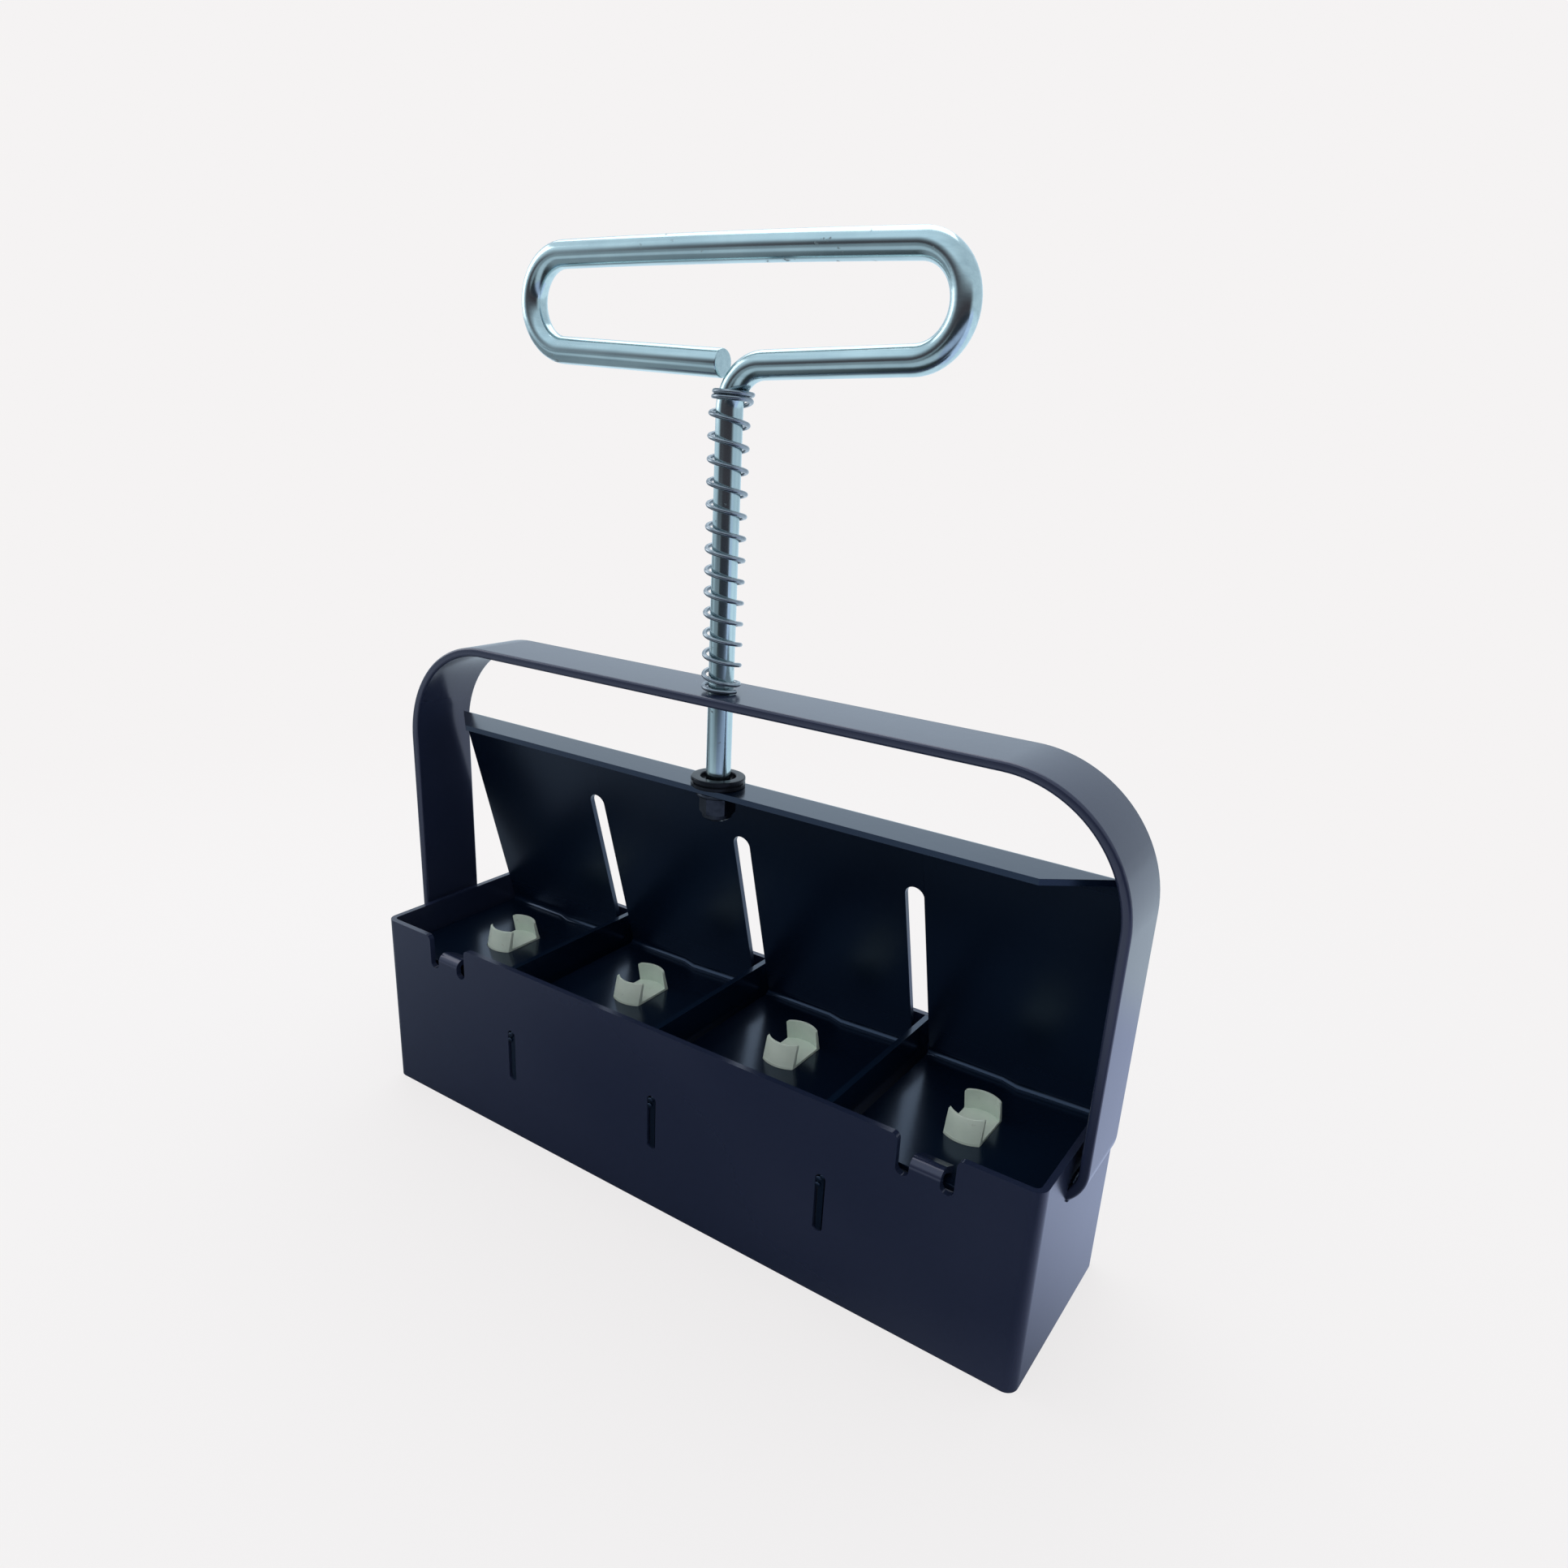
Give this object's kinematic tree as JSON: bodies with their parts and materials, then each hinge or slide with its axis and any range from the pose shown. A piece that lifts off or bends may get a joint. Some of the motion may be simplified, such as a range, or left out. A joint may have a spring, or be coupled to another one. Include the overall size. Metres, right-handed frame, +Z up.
{
  "type": "soil blocker",
  "caption": "Hand soil blocker: open steel mould of square cells under a strap frame, with a sprung ejector plunger on a bent rod grip and plastic dibble pins.",
  "frame": {"origin": "middle of the mould's bottom rim, on the ground", "axes": "+X along the row of cells, +Y to the back where the plunger's web stands, +Z up along the handle rod"},
  "size_m": [0.216, 0.0528, 0.2356],
  "materials": {
    "black_paint": "gloss",
    "zinc_plate": "satin",
    "spring_steel": "satin",
    "collar_black": "gloss",
    "dark_hardware": "satin",
    "pin_plastic": "satin"
  },
  "bodies": {
    "mould": {"mould_wrap": "black_paint", "divider_left": "black_paint", "divider_middle": "black_paint", "divider_right": "black_paint", "strap_frame": "black_paint", "strap_weld_left": "black_paint", "strap_weld_right": "black_paint", "return_spring": "spring_steel"},
    "plunger": {"handle_rod": "zinc_plate", "stop_collar": "collar_black", "flange_washer": "dark_hardware", "lock_nut": "dark_hardware", "plunger_plate": "black_paint", "dibble_pin_1": "pin_plastic", "dibble_pin_2": "pin_plastic", "dibble_pin_3": "pin_plastic", "dibble_pin_4": "pin_plastic"}
  },
  "joints": [
    {"name": "plunger_slide", "type": "slide", "parent": "mould", "child": "plunger", "axis": [0, 0, -1], "range_m": [0, 0.042], "stiffness_N_per_m": 400, "springref_m": -0.02, "deforming": ["return_spring"]}
  ]
}
